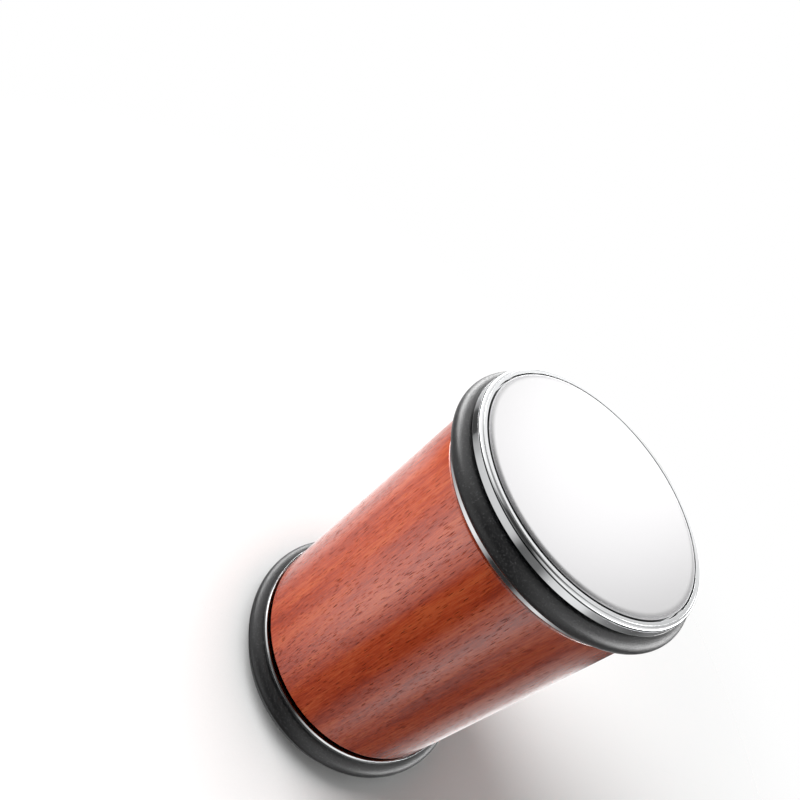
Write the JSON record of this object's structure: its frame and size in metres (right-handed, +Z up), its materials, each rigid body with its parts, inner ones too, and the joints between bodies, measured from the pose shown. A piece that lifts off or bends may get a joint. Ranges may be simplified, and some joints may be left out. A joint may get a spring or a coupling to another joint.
{
  "type": "rolling knife sharpener",
  "caption": "Rolling knife sharpener: a stained wooden grip that turns on ball bearings between rubber-tyred steel wheels with a diamond face and a honing face.",
  "frame": {"origin": "centre of the lower sharpening face, which the sharpener stands on", "axes": "+Z up along the axle, from the diamond disc to the honing disc; X and Y are free, because the form is turned"},
  "size_m": [0.06, 0.06, 0.089],
  "materials": {
    "stained_beech": "lacquered satin, reddish brown stain",
    "turned_steel": "fine turned, bright",
    "honing_steel": "smooth satin",
    "diamond_grit": "fine diamond grit bonded to steel",
    "rubber": "satin black",
    "black_nylon": "moulded matt",
    "bearing_steel": "ground and polished",
    "cage_nylon": "moulded, natural colour"
  },
  "bodies": {
    "wheelset": {"axle": "turned_steel", "spacer_tube": "turned_steel", "diamond_disc": "diamond_grit", "diamond_disc_carrier": "turned_steel", "honing_disc": "honing_steel", "honing_disc_carrier": "turned_steel", "lower_wheel": "turned_steel", "upper_wheel": "turned_steel", "lower_tyre": "rubber", "upper_tyre": "rubber", "lower_inner_race": "bearing_steel", "upper_inner_race": "bearing_steel"},
    "grip": {"wood_barrel": "stained_beech", "lower_bearing_cup": "black_nylon", "lower_outer_race": "bearing_steel", "lower_front_shield": "bearing_steel", "lower_back_shield": "bearing_steel", "lower_wave_washer": "bearing_steel", "upper_bearing_cup": "black_nylon", "upper_outer_race": "bearing_steel", "upper_front_shield": "bearing_steel", "upper_back_shield": "bearing_steel", "upper_wave_washer": "bearing_steel"},
    "lower_ball_train": {"lower_ball_cage": "cage_nylon", "lower_ball_1": "bearing_steel", "lower_ball_2": "bearing_steel", "lower_ball_3": "bearing_steel", "lower_ball_4": "bearing_steel", "lower_ball_5": "bearing_steel", "lower_ball_6": "bearing_steel", "lower_ball_7": "bearing_steel"},
    "upper_ball_train": {"upper_ball_cage": "cage_nylon", "upper_ball_1": "bearing_steel", "upper_ball_2": "bearing_steel", "upper_ball_3": "bearing_steel", "upper_ball_4": "bearing_steel", "upper_ball_5": "bearing_steel", "upper_ball_6": "bearing_steel", "upper_ball_7": "bearing_steel"}
  },
  "joints": [
    {"name": "grip_spin", "type": "hinge", "parent": "wheelset", "child": "grip", "pos_m": [0, 0, 0.0445], "axis": [0, 0, 1], "continuous": true},
    {"name": "lower_balls_spin", "type": "hinge", "parent": "wheelset", "child": "lower_ball_train", "pos_m": [0, 0, 0.01435], "axis": [0, 0, 1], "continuous": true},
    {"name": "upper_balls_spin", "type": "hinge", "parent": "wheelset", "child": "upper_ball_train", "pos_m": [0, 0, 0.07465], "axis": [0, 0, 1], "continuous": true}
  ],
  "couplings": [
    {"joint": "lower_balls_spin", "follows": "grip_spin", "ratio": 0.6323},
    {"joint": "upper_balls_spin", "follows": "grip_spin", "ratio": 0.6323}
  ]
}
